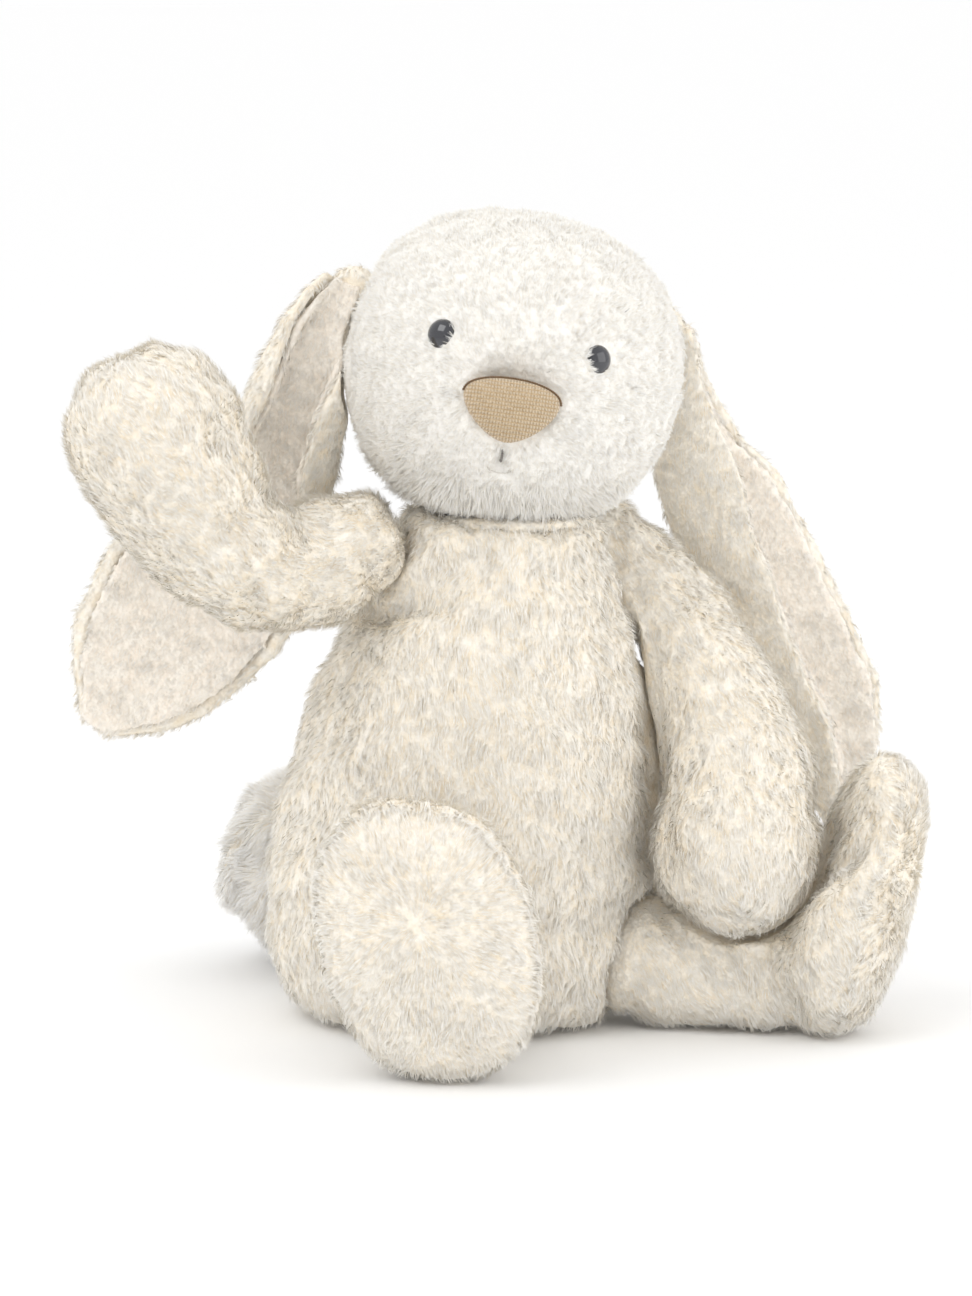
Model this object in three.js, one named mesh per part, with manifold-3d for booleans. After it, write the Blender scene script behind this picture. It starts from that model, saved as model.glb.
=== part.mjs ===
// A seated stuffed bunny rabbit with long lop ears, one paw raised, about 380 mm tall.
// Every stuffed part is a cover of fur-fabric panels round a core of stuffing.
// Millimetres, +Z up, the bunny faces -Y, its own left is +X.
// The origin is on the floor under the middle of its seat.
import * as THREE from 'three';
import { mergeVertices } from 'three/addons/utils/BufferGeometryUtils.js';
import Module from 'manifold-3d';

const wasm = await Module();
wasm.setup();

// ---- driving dimensions ----
const PILE = 8; // fur fabric: knitted backing and pile together
const GAP = 0.4; // between pieces that touch
const THREAD = 0.9; // half thickness of a sewn seam's thread
const SIDES = 14; // facets round a stuffed part

const HEAD = { x: 0, y: -33, z: 304, halfWidth: 77, halfDepth: 71, halfHeight: 69.5, fullness: 2.25 };
const HEAD_TURN = THREE.MathUtils.degToRad(-32.8); // the head looks past the bunny's right knee
const HEAD_ROLL = THREE.MathUtils.degToRad(9.5); // and leans towards its own left shoulder
const GUSSET = 25; // half width of the strip that runs over the head from the nose to the nape
const EYE = { side: 34.5, up: 14, radius: 7, dome: 4.6, rim: 1.2, sunk: 4.8, stem: 2.2, stemLength: 15 };
const WASHER = { radius: 9, hole: 2.6, thickness: 2.2, behindEye: 9.5 };
const NOSE = { halfWidth: 23.5, halfHeight: 15.5, up: -8.5 };

const SHOULDER = {
  right: { x: -75, y: -13, z: 224, radius: 27 },
  left: { x: 62, y: -24, z: 220, radius: 22 },
};
const HIP = { x: 48, y: -66, z: 31 };
const LEG_SPLAY = THREE.MathUtils.degToRad(45);
const LEG_SWING = [0, THREE.MathUtils.degToRad(12)]; // outwards along the floor
const LEG_REACH = { right: 75, left: 100 }; // hip to the middle of the foot: the right knee is drawn in
const FOOT = { halfLength: 67, halfWidth: 51, halfThickness: 26, lean: 0.24, toesOut: -0.2 };
const TAIL = { root: 88, y: 135, z: 50, radius: 47, wag: THREE.MathUtils.degToRad(8) };
const EAR = { fur: 6, lining: 4.5, across: 10, along: 13 };

// ---- materials ----
const fabric = (color, roughness = 0.95) => new THREE.MeshStandardMaterial({ color, roughness, metalness: 0 });
const FUR = fabric(0xf1ede4);
const LINING = fabric(0xefe6da);
const NOSE_CLOTH = fabric(0xdcc4a2, 0.8);
const STUFFING = fabric(0xf7f7f4);
const COTTON = fabric(0xe6e0d2, 0.9);
const STITCH = fabric(0xd8d0c2, 0.7);
const GREY_STITCH = fabric(0x9a948c, 0.7);
const EYE_PLASTIC = new THREE.MeshStandardMaterial({ color: 0x14151c, roughness: 0.08, metalness: 0 });
const WHITE_PLASTIC = new THREE.MeshStandardMaterial({ color: 0xe9e9e6, roughness: 0.4, metalness: 0 });

// ---- solids ----
const vec = (x, y, z) => new THREE.Vector3(x, y, z);

// A three.js geometry as a manifold solid, turned to face outwards.
function solid(geometry) {
  const bare = geometry.clone();
  bare.deleteAttribute('normal');
  bare.deleteAttribute('uv');
  const merged = mergeVertices(bare, 1e-4);
  const vertProperties = new Float32Array(merged.attributes.position.array);
  const build = (triVerts) => new wasm.Manifold(new wasm.Mesh({ numProp: 3, vertProperties, triVerts }));
  const triangles = new Uint32Array(merged.index.array);
  const made = build(triangles);
  if (made.volume() > 0) return made;
  for (let i = 0; i < triangles.length; i += 3) {
    [triangles[i], triangles[i + 1]] = [triangles[i + 1], triangles[i]];
  }
  return build(triangles);
}

function geometryOf(manifold) {
  const { vertProperties, triVerts } = manifold.getMesh();
  const geometry = new THREE.BufferGeometry();
  geometry.setAttribute('position', new THREE.BufferAttribute(vertProperties, 3));
  geometry.setIndex(new THREE.BufferAttribute(triVerts, 1));
  geometry.computeVertexNormals();
  return geometry;
}

// A closed surface through a stack of equal rings of points, with a point at each end.
function stack(rings, first, last) {
  const sides = rings[0].length;
  const points = [first, ...rings.flat(), last];
  const at = (ring, side) => 1 + ring * sides + (side % sides);
  const faces = [];
  for (let s = 0; s < sides; s++) {
    faces.push(0, at(0, s + 1), at(0, s));
    for (let r = 0; r + 1 < rings.length; r++) {
      faces.push(at(r, s), at(r, s + 1), at(r + 1, s + 1), at(r, s), at(r + 1, s + 1), at(r + 1, s));
    }
    faces.push(points.length - 1, at(rings.length - 1, s), at(rings.length - 1, s + 1));
  }
  const geometry = new THREE.BufferGeometry();
  geometry.setAttribute('position', new THREE.Float32BufferAttribute(points.flatMap((p) => p.toArray()), 3));
  geometry.setIndex(faces);
  return solid(geometry);
}

function ring(centre, across, over, halfAcross, halfOver, sides = SIDES) {
  return Array.from({ length: sides }, (_, i) => {
    const angle = (2 * Math.PI * i) / sides;
    return centre
      .clone()
      .addScaledVector(across, halfAcross * Math.cos(angle))
      .addScaledVector(over, halfOver * Math.sin(angle));
  });
}

// An ellipsoid whose fullness above 2 squares it off a little, as stuffing does.
function plump(a, b, c, fullness = 2, sides = SIDES, levels = 11) {
  const power = (value, exponent) => Math.sign(value) * Math.abs(value) ** exponent;
  const rings = [];
  for (let i = 1; i < levels; i++) {
    const latitude = -Math.PI / 2 + (Math.PI * i) / levels;
    const wide = power(Math.cos(latitude), 2 / fullness);
    const z = c * power(Math.sin(latitude), 2 / fullness);
    rings.push(ring(vec(0, 0, z), vec(1, 0, 0), vec(0, 1, 0), a * wide, b * wide, sides));
  }
  return stack(rings, vec(0, 0, -c), vec(0, 0, c));
}

// A value that runs smoothly through the stations of a list as t goes from 0 to 1.
function along(values, t) {
  const curve = new THREE.CatmullRomCurve3(values.map((v, i) => vec(i, v, 0)));
  return curve.getPoint(t).y;
}

// A stuffed limb: an oval section swept along a path, closed by round ends.
// 'over' is where its thin side faces.
function limb({ path, halfWidth, halfThick, over, steps = 6, capSteps = 2, sides = SIDES }, inset = 0) {
  const curve = new THREE.CatmullRomCurve3(path);
  const rings = [];
  const station = (t, beyond, shrink) => {
    const centre = curve.getPoint(t);
    const tangent = curve.getTangent(t);
    const across = tangent.clone().cross(over).normalize();
    const thin = across.clone().cross(tangent).normalize();
    const wide = along(halfWidth, t) - inset;
    const thick = along(halfThick, t) - inset;
    centre.addScaledVector(tangent, beyond * (wide + thick) * 0.5);
    return { centre, ring: ring(centre, across, thin, wide * shrink, thick * shrink, sides) };
  };
  for (let k = capSteps; k > 0; k--) {
    const bend = (k * Math.PI) / 2 / (capSteps + 1);
    rings.push(station(0, -Math.sin(bend), Math.cos(bend)).ring);
  }
  for (let i = 0; i <= steps; i++) rings.push(station(i / steps, 0, 1).ring);
  for (let k = 1; k <= capSteps; k++) {
    const bend = (k * Math.PI) / 2 / (capSteps + 1);
    rings.push(station(1, Math.sin(bend), Math.cos(bend)).ring);
  }
  return stack(rings, station(0, -1, 0).centre, station(1, 1, 0).centre);
}

// The half of space on the far side of a plane, as a block large enough for any part here.
function halfSpace(point, normal, size = 700) {
  const block = new THREE.BoxGeometry(size, size, size).translate(0, 0, size / 2);
  block.applyQuaternion(new THREE.Quaternion().setFromUnitVectors(vec(0, 0, 1), normal.clone().normalize()));
  return solid(block.translate(point.x, point.y, point.z));
}

const ball = (centre, radius, detail = 14) =>
  solid(new THREE.SphereGeometry(radius, detail, detail - 4).translate(centre.x, centre.y, centre.z));

// A cylinder on an axis that starts at a point.
function peg(start, direction, radius, length, sides = 14) {
  const body = new THREE.CylinderGeometry(radius, radius, length, sides).translate(0, length / 2, 0);
  body.applyQuaternion(new THREE.Quaternion().setFromUnitVectors(vec(0, 1, 0), direction.clone().normalize()));
  return solid(body.translate(start.x, start.y, start.z));
}

// A ring of seam thread round an axis.
function seamRing(centre, axis, radius, thickness = THREAD, sides = 28) {
  const hoop = new THREE.TorusGeometry(radius, thickness, 6, sides);
  hoop.applyQuaternion(new THREE.Quaternion().setFromUnitVectors(vec(0, 0, 1), axis.clone().normalize()));
  return solid(hoop.translate(centre.x, centre.y, centre.z));
}

// A thick sheet between two equal grids of points, closed round its edges.
function sheet(top, bottom) {
  const [rows, columns] = [top.length, top[0].length];
  const points = [...top.flat(), ...bottom.flat()];
  const upper = (r, c) => r * columns + c;
  const lower = (r, c) => rows * columns + r * columns + c;
  const faces = [];
  const quad = (a, b, c, d) => faces.push(a, b, c, a, c, d);
  for (let r = 0; r + 1 < rows; r++) {
    for (let c = 0; c + 1 < columns; c++) {
      quad(upper(r, c), upper(r, c + 1), upper(r + 1, c + 1), upper(r + 1, c));
      quad(lower(r, c), lower(r + 1, c), lower(r + 1, c + 1), lower(r, c + 1));
    }
    quad(upper(r, 0), upper(r + 1, 0), lower(r + 1, 0), lower(r, 0));
    quad(upper(r + 1, columns - 1), upper(r, columns - 1), lower(r, columns - 1), lower(r + 1, columns - 1));
  }
  for (let c = 0; c + 1 < columns; c++) {
    quad(upper(0, c + 1), upper(0, c), lower(0, c), lower(0, c + 1));
    quad(upper(rows - 1, c), upper(rows - 1, c + 1), lower(rows - 1, c + 1), lower(rows - 1, c));
  }
  const geometry = new THREE.BufferGeometry();
  geometry.setAttribute('position', new THREE.Float32BufferAttribute(points.flatMap((p) => p.toArray()), 3));
  geometry.setIndex(faces);
  return solid(geometry);
}

// The cover and core of a stuffed part, from a function that makes its shape inset by a distance.
const coverAndCore = (shape) => ({ cover: shape(0).subtract(shape(PILE)), core: shape(PILE + GAP) });

// The two sides of a cover that is cut along a plane, with a hair's breadth between them.
function halves(cover, point, normal) {
  const gap = normal.clone().normalize().multiplyScalar(GAP / 2);
  return [
    cover.intersect(halfSpace(point.clone().add(gap), normal)),
    cover.intersect(halfSpace(point.clone().sub(gap), normal.clone().negate())),
  ];
}

function place(group, name, manifold, material) {
  const mesh = new THREE.Mesh(geometryOf(manifold), material);
  mesh.name = name;
  group.add(mesh);
  return mesh;
}

const bunny = new THREE.Group();

// ---- head: two side panels, a gusset, stuffing, nose, eyes with their washers, and the mouth's stitches ----
const head = new THREE.Group();
head.position.set(HEAD.x, HEAD.y, HEAD.z);
head.rotation.set(0, HEAD_ROLL, HEAD_TURN, 'ZYX');
bunny.add(head);

const headShape = (inset) =>
  plump(HEAD.halfWidth - inset, HEAD.halfDepth - inset, HEAD.halfHeight - inset, HEAD.fullness, 18, 10);

// Where a ray from the middle of the head meets its surface, and the way out there.
function onFace(side, up, inset = 0) {
  const [a, b, c] = [HEAD.halfWidth - inset, HEAD.halfDepth - inset, HEAD.halfHeight - inset];
  const level = 1 - Math.abs(up / c) ** HEAD.fullness;
  const wide = level ** (2 / HEAD.fullness);
  const y = -b * Math.sqrt(Math.max(wide - (side / a) ** 2, 0));
  const out = vec(side / a ** 2, y / b ** 2, up / c ** 2).normalize();
  return { point: vec(side, y, up), out };
}

function safetyEye(point, out) {
  const { radius, dome, rim, stem, stemLength } = EYE;
  const steps = 6;
  const front = Array.from({ length: steps + 1 }, (_, i) => {
    const angle = (i / steps) * (Math.PI / 2);
    return new THREE.Vector2(i === steps ? 0 : radius * Math.cos(angle), dome * Math.sin(angle));
  });
  const profile = [
    new THREE.Vector2(0, -stemLength),
    new THREE.Vector2(stem, -stemLength),
    new THREE.Vector2(stem, -rim),
    new THREE.Vector2(radius - rim / 2, -rim),
    ...front,
  ];
  const body = new THREE.LatheGeometry(profile, 18);
  body.applyQuaternion(new THREE.Quaternion().setFromUnitVectors(vec(0, 1, 0), out));
  return solid(body.translate(point.x, point.y, point.z));
}

const headParts = coverAndCore(headShape);
const noseSeat = onFace(0, NOSE.up, 5);
const noseShape = (inset) => {
  const body = plump(NOSE.halfWidth - inset, 11 - inset, NOSE.halfHeight - inset, 2.3, 16, 9);
  return body.translate(noseSeat.point.x, noseSeat.point.y - 4, noseSeat.point.z);
};
const noseCut = noseShape(-GAP);
headParts.cover = headParts.cover.subtract(noseCut);
headParts.core = headParts.core.subtract(noseCut);

const eyes = [-1, 1].map((side) => {
  const { point, out } = onFace(side * EYE.side, EYE.up, EYE.sunk);
  const eye = safetyEye(point, out);
  const behind = point.clone().addScaledVector(out, -WASHER.behindEye);
  const washer = peg(behind, out, WASHER.radius, WASHER.thickness, 18).subtract(
    peg(behind.clone().addScaledVector(out, -1), out, WASHER.hole, WASHER.thickness + 2),
  );
  // the eye lies in a dimple, its stem in a hole, and the washer in a pocket of the stuffing
  const dimple = peg(point.clone().addScaledVector(out, -1.8), out, EYE.radius + 0.8, 30, 18);
  const hole = peg(behind.clone().addScaledVector(out, -7), out, EYE.stem + GAP + 0.3, 30);
  const pocket = peg(behind.clone().addScaledVector(out, -0.5), out, WASHER.radius + 0.8, 30, 14);
  headParts.cover = headParts.cover.subtract(dimple).subtract(hole);
  headParts.core = headParts.core.subtract(pocket).subtract(hole);
  return { name: side < 0 ? 'right' : 'left', eye, washer };
});

const mouthThreads = [
  { name: 'mouth_stitch', from: [0, -30], to: [0, -38] },
  { name: 'chin_stitch', from: [-6, -42], to: [6, -42] },
].map(({ name, from, to }) => {
  const [a, b] = [onFace(...from, 1), onFace(...to, 1)];
  const way = b.point.clone().sub(a.point);
  const thread = peg(a.point, way, THREAD, way.length(), 8);
  const start = a.point.clone().addScaledVector(way, -0.05);
  const groove = peg(start, way, THREAD + GAP + 0.6, way.length() * 1.1, 8);
  headParts.cover = headParts.cover.subtract(groove);
  return { name, thread };
});

const gussetWall = GUSSET + GAP;
const rightCheek = headParts.cover.intersect(halfSpace(vec(-gussetWall, 0, 0), vec(-1, 0, 0)));
const leftCheek = headParts.cover.intersect(halfSpace(vec(gussetWall, 0, 0), vec(1, 0, 0)));
const crown = headParts.cover
  .intersect(halfSpace(vec(-GUSSET, 0, 0), vec(1, 0, 0)))
  .intersect(halfSpace(vec(GUSSET, 0, 0), vec(-1, 0, 0)));
place(head, 'head_right_panel', rightCheek, FUR);
place(head, 'head_left_panel', leftCheek, FUR);
place(head, 'head_gusset', crown, FUR);
place(head, 'head_stuffing', headParts.core, STUFFING);
const noseFront = noseShape(0).subtract(noseShape(1.6));
const noseOpening = peg(noseSeat.point.clone().add(vec(0, 2, 0)), vec(0, 1, 0), 9, 20, 12);
place(head, 'nose_cover', noseFront.subtract(noseOpening), NOSE_CLOTH);
place(head, 'nose_padding', noseShape(1.6 + GAP), STUFFING);
for (const { name, eye, washer } of eyes) {
  place(head, `eye_${name}`, eye, EYE_PLASTIC);
  place(head, `eye_${name}_washer`, washer, WHITE_PLASTIC);
}
for (const { name, thread } of mouthThreads) place(head, name, thread, GREY_STITCH);

// ---- where the limbs are and how they lie ----
const SIDES_OF_BUNNY = { right: -1, left: 1 };
const names = Object.keys(SIDES_OF_BUNNY);
const shoulderAt = (name) => vec(SHOULDER[name].x, SHOULDER[name].y, SHOULDER[name].z);
const hipAt = (name) => vec(SIDES_OF_BUNNY[name] * HIP.x, HIP.y, HIP.z);
const legWay = (name, swing = 0) => {
  const splay = LEG_SPLAY + swing;
  return vec(SIDES_OF_BUNNY[name] * Math.sin(splay), -Math.cos(splay), 0);
};

const ARMS = {
  right: {
    path: [shoulderAt('right'), vec(-102, -16, 213), vec(-128, -17, 221), vec(-149, -14, 240),
      vec(-165, -11, 266), vec(-175, -13, 283)],
    halfWidth: [27, 27, 30, 35, 40, 41],
    halfThick: [27, 26, 28, 31, 34, 34],
    over: vec(-0.3, -0.95, 0.1),
  },
  left: {
    path: [shoulderAt('left'), vec(73, -50, 188), vec(80, -79, 150), vec(80, -101, 112), vec(71, -113, 87)],
    halfWidth: [22, 27, 32, 39, 44],
    halfThick: [22, 26, 30, 35, 39],
    over: vec(0.55, -0.83, 0.1),
  },
};

const COARSE = { sides: 12, steps: 6, capSteps: 2 }; // for the room a limb needs

// ---- torso: a pear of four panels on a round seat, stuffing, and a pouch of pellets that weighs it down ----
// Height, half width, half depth and how far forward the middle of the section lies.
const TORSO = [
  [0, 62, 60, 0], [5, 76, 74, 0], [18, 88, 84, 0], [42, 95, 89, 0], [70, 94.5, 88, -1], [100, 90, 85, -5],
  [130, 84, 80, -9], [160, 76, 72, -13], [188, 66.5, 63, -17], [212, 56, 53, -21], [232, 46, 44, -25],
  [246, 36, 35, -28],
];
const SEAT_RADIUS = 56;

function torsoShape(inset) {
  const levels = TORSO.filter(([z]) => z === 0 || z > inset);
  const rings = levels.map(([z, a, b, forward]) =>
    ring(vec(0, forward, Math.max(z, inset)), vec(1, 0, 0), vec(0, 1, 0), a - inset, b - inset, 24));
  const [z, , , forward] = TORSO[TORSO.length - 1];
  return stack(rings, vec(0, 0, inset), vec(0, forward, z + 4 - inset));
}

const NECK = { centre: vec(HEAD.x, HEAD.y, 234.5), radius: 36 };

// The room the head needs as it turns and nods.
const headRoom = plump(84.5, 84.5, 78, 2.15, 22, 12).translate(HEAD.x, HEAD.y, HEAD.z);

// ---- legs: a thigh along the floor and a foot that stands up from it on its heel ----
function thigh(name, swing = 0) {
  const way = legWay(name, swing);
  const path = [0, 0.5, 1].map((t) => hipAt(name).addScaledVector(way, t * LEG_REACH[name] * 0.84));
  return { path, halfWidth: [29, 31, 32], halfThick: [29, 29, 29], over: vec(0, 0, 1), steps: 3 };
}

// The foot's own directions: along its sole, across it, and out of it.
function footWays(name) {
  const way = legWay(name);
  const { lean, toesOut } = FOOT;
  const out = way.clone().multiplyScalar(Math.cos(lean)).add(vec(0, 0, -Math.sin(lean)));
  const straight = vec(0, 0, Math.cos(lean)).addScaledVector(way, Math.sin(lean));
  const up = straight.applyAxisAngle(out, SIDES_OF_BUNNY[name] * toesOut);
  return { up, out, across: up.clone().cross(out) };
}

function footMiddle(name) {
  return hipAt(name).addScaledVector(legWay(name), LEG_REACH[name]).setZ(FOOT.halfLength - 3);
}

function footShape(name, inset) {
  const { up, out, across } = footWays(name);
  const body = plump(FOOT.halfWidth - inset, FOOT.halfThickness - inset, FOOT.halfLength - inset, 2.3, 16, 9);
  const toFoot = new THREE.Matrix4().makeBasis(across, out.clone().negate(), up);
  toFoot.setPosition(footMiddle(name));
  return solid(geometryOf(body).applyMatrix4(toFoot));
}

const aboveFloor = (inset) => halfSpace(vec(0, 0, inset), vec(0, 0, 1));

const armShape = (name) => (inset) => limb(ARMS[name], inset);

// An arm, or the part of it near its shoulder, swung up from how it lies.
const ARM_SWING = { right: [-6, 3, 12], left: [0, 8, 15, 30] };
const ARM_ROOT = { right: 90, left: 60 }; // how much of an arm the torso leaves room for
const WHOLE_ARM = 400;
const PAW_ON_THIGH = [0, 5, 10, 15, 20, 25]; // where the left paw passes the thigh as it swings
const PAW_ROOM = 2.6;
const ARM_AXIS = { right: vec(0, 1, 0), left: vec(-1, 0, 0) };
function swungArm(name, swing, extra, reach) {
  const at = shoulderAt(name);
  const kept = limb({ ...ARMS[name], ...COARSE }, -extra).intersect(ball(at, reach, 12));
  const turned = new THREE.Matrix4().makeTranslation(at.x, at.y, at.z);
  turned.multiply(new THREE.Matrix4().makeRotationAxis(ARM_AXIS[name], THREE.MathUtils.degToRad(swing)));
  turned.multiply(new THREE.Matrix4().makeTranslation(-at.x, -at.y, -at.z));
  return solid(geometryOf(kept).applyMatrix4(turned));
}
const armRoot = (name, swing, extra) => swungArm(name, swing, extra, ARM_ROOT[name]);

const legShape = (name) => (inset) => {
  let whole = limb(thigh(name), inset).add(footShape(name, inset)).intersect(aboveFloor(inset));
  if (name === 'right') return whole;
  // the paw of the arm that hangs rests in a dent of the thigh, and slides out of it as it swings
  for (const swing of PAW_ON_THIGH) {
    whole = whole.subtract(swungArm(name, swing, PAW_ROOM + inset, WHOLE_ARM));
  }
  return whole;
};

const TAIL_WAGS = [-1, 1].map((share) => share * TAIL.wag);
const tailShape = (inset, wag = 0) => {
  const reach = TAIL.y - TAIL.root;
  const centre = vec(reach * Math.sin(wag), TAIL.root + reach * Math.cos(wag), TAIL.z);
  return ball(centre, TAIL.radius - inset);
};

// What the torso leaves free: the head, and the roots of the arms, the legs and the tail wherever they go.
function hollowed(torso) {
  let left = torso.subtract(headRoom);
  for (const name of names) {
    for (const swing of ARM_SWING[name]) left = left.subtract(armRoot(name, swing, 1.2));
    for (const swing of LEG_SWING) left = left.subtract(limb({ ...thigh(name, swing), ...COARSE }, -1.2));
  }
  for (const wag of TAIL_WAGS) left = left.subtract(tailShape(-0.8, wag));
  return left;
}

const pouchShape = (inset) => plump(34 - inset, 32 - inset, 17 - inset, 2.6, 16, 7).translate(0, 30, 26);
const seatDisc = (radius) => peg(vec(0, 0, -1), vec(0, 0, 1), radius, PILE + 1, 32);

const torsoCover = hollowed(torsoShape(0).subtract(torsoShape(PILE)));
let torsoCore = torsoShape(PILE + GAP)
  .subtract(headRoom)
  .subtract(pouchShape(-GAP))
  .subtract(peg(vec(0, 30, 0), vec(0, 0, 1), 26, 26, 16));
for (const name of names) {
  for (const swing of ARM_SWING[name]) torsoCore = torsoCore.subtract(armRoot(name, swing, 3));
  torsoCore = torsoCore.subtract(limb({ ...thigh(name, LEG_SWING[1] / 2), ...COARSE }, -8));
}
const walls = torsoCover.subtract(seatDisc(SEAT_RADIUS + GAP));
const [frontWall, backWall] = halves(walls, vec(0, -9, 0), vec(0, -1, 0));
for (const [end, wall] of [['front', frontWall], ['back', backWall]]) {
  const [left, right] = halves(wall, vec(0, 0, 0), vec(1, 0, 0));
  place(bunny, `torso_${end}_left_panel`, left, FUR);
  place(bunny, `torso_${end}_right_panel`, right, FUR);
}
place(bunny, 'torso_seat_panel', torsoCover.intersect(seatDisc(SEAT_RADIUS)), FUR);
place(bunny, 'torso_stuffing', torsoCore, STUFFING);
place(bunny, 'pellet_pouch', pouchShape(0), COTTON);
place(bunny, 'neck_seam', seamRing(NECK.centre, vec(0, 0, 1), NECK.radius), STITCH);

// ---- arms: a front and a back panel round a stuffing, the left one pressed against the torso's side ----
for (const name of names) {
  const clearOfTorso = (manifold, extra) => {
    if (name === 'right') return manifold;
    const pressed = torsoShape(-1.5 - extra).subtract(ball(shoulderAt(name), SHOULDER.left.radius * 2));
    return manifold.subtract(pressed);
  };
  const outer = clearOfTorso(armShape(name)(0), 0);
  const inner = clearOfTorso(armShape(name)(PILE), PILE);
  const core = clearOfTorso(armShape(name)(PILE + GAP), PILE + GAP);
  const { path, over } = ARMS[name];
  const [front, back] = halves(outer.subtract(inner), path[2], over);
  place(bunny, `arm_${name}_front_panel`, front, FUR);
  place(bunny, `arm_${name}_back_panel`, back, FUR);
  place(bunny, `arm_${name}_stuffing`, core, STUFFING);
}

// ---- legs: an inner and an outer panel and a sole round a stuffing ----
for (const name of names) {
  const { cover, core } = coverAndCore(legShape(name));
  const { out, across } = footWays(name);
  const soleFrom = footMiddle(name).addScaledVector(out, FOOT.halfThickness - PILE - 2);
  const [sole, rest] = halves(cover, soleFrom, out);
  const way = legWay(name);
  const [leftPanel, rightPanel] = halves(rest, hipAt(name), vec(-way.y, way.x, 0));
  place(bunny, `leg_${name}_left_panel`, leftPanel, FUR);
  place(bunny, `leg_${name}_right_panel`, rightPanel, FUR);
  place(bunny, `foot_${name}_sole`, sole, FUR);
  place(bunny, `leg_${name}_stuffing`, core, STUFFING);
}

// ---- tail: two round panels and a stuffing ----
const tail = { cover: tailShape(0).subtract(tailShape(PILE)), core: tailShape(PILE + GAP) };
const [tailLeft, tailRight] = halves(tail.cover, vec(0, 0, 0), vec(1, 0, 0));
place(bunny, 'tail_left_panel', tailLeft, FUR);
place(bunny, 'tail_right_panel', tailRight, FUR);
place(bunny, 'tail_stuffing', tail.core, STUFFING);

// ---- ears: fur outside, a smooth lining inside, folded lengthwise ----
// Each ear: the line of its fold, the way it opens, and its section down that line, part of an oval.
// The section has the oval's half width and half depth.
// Its front edge and back edge are how far round the oval they reach from the fold, in radians.
const EARS = {
  right: {
    path: [vec(-50, 26, 341), vec(-63, 29, 315), vec(-73, 38, 280), vec(-80, 56, 238), vec(-97, 78, 201),
      vec(-118, 95, 166), vec(-142, 105, 134)],
    opens: vec(-0.5, -0.85, 0),
    halfWidth: [14, 23, 26, 33, 49, 46, 32],
    halfDepth: [12.5, 15, 17, 18, 18, 18, 16],
    frontEdge: [1.5, 2.2, 2.4, 1.9, 1.4, 1.1, 0.9],
    backEdge: [1.5, 2.4, 2.75, 2.3, 1.5, 1.15, 0.9],
  },
  left: {
    path: [vec(84, -39, 320), vec(85, -38, 303), vec(85, -28, 279), vec(89, -20, 250), vec(100, -18, 221),
      vec(117, -21, 187), vec(136, -24, 148), vec(161, -29, 108), vec(185, -32, 71)],
    opens: vec(0.83, -0.56, 0),
    halfWidth: [12.5, 13, 13, 13, 13, 13, 13, 13, 12.5],
    halfDepth: [12.5, 14, 24, 35, 40, 41, 42, 39, 30],
    frontEdge: [1.3, 1.7, 1.95, 1.77, 1.57, 1.43, 1.33, 1.3, 1.3],
    backEdge: [1.4, 1.9, 2.1, 2.1, 2.1, 2.1, 2.1, 2.1, 2.1],
  },
};
const EAR_TIP = 0.84; // the share of an ear's length where its rounded tip starts
const TIP_CUT = 0.9; // how square the tip is: 1 would bring it to a point

// One layer of an ear, between two distances from its outside.
function earLayer({ path, opens, halfWidth, halfDepth, frontEdge, backEdge }, from, to) {
  const fold = new THREE.CatmullRomCurve3(path);
  const grid = (depth) => Array.from({ length: EAR.along + 1 }, (_, r) => {
    const t = r / EAR.along;
    const tangent = fold.getTangent(t);
    const front = tangent.clone().cross(opens).normalize();
    const open = front.clone().cross(tangent).normalize();
    const beyond = Math.max(0, (t - EAR_TIP) / (1 - EAR_TIP));
    const narrowing = Math.sqrt(1 - TIP_CUT * beyond * beyond);
    const wide = along(halfWidth, t) - depth;
    const deep = along(halfDepth, t) - depth;
    const [back, ahead] = [-along(backEdge, t) * narrowing, along(frontEdge, t) * narrowing];
    return Array.from({ length: EAR.across + 1 }, (_, c) => {
      const angle = back + ((ahead - back) * c) / EAR.across;
      return fold.getPoint(t)
        .addScaledVector(front, wide * Math.sin(angle))
        .addScaledVector(open, depth + deep * (1 - Math.cos(angle)));
    });
  });
  return sheet(grid(from), grid(to));
}

// The roots lie against the head where they are sewn to it.
const HEAD_CLEARANCE = 1.2;
head.updateMatrix();
const headNear = solid(geometryOf(headShape(-HEAD_CLEARANCE)).applyMatrix4(head.matrix));
for (const name of names) {
  const fur = earLayer(EARS[name], 0, EAR.fur);
  const lining = earLayer(EARS[name], EAR.fur + GAP, EAR.fur + GAP + EAR.lining);
  place(bunny, `ear_${name}_fur_panel`, fur.subtract(headNear), FUR);
  place(bunny, `ear_${name}_lining`, lining.subtract(headNear), LINING);
}

export default bunny;
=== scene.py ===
"""A seated plush bunny with lop ears, one paw raised.

Metres, +Z up, the bunny faces -Y and its own left is +X.

Each stuffed part is a skin, made from its CAD solids by remeshing and a short cloth simulation, and a coat of
fur grown on that skin as clumps of tapered strands. The skin lies a little inside the CAD solids' outer faces,
and the tips of the strands reach a little past them.
"""

import math

import bmesh
import bpy
import numpy as np
from mathutils import Matrix, Vector
from mathutils.bvhtree import BVHTree


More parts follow.
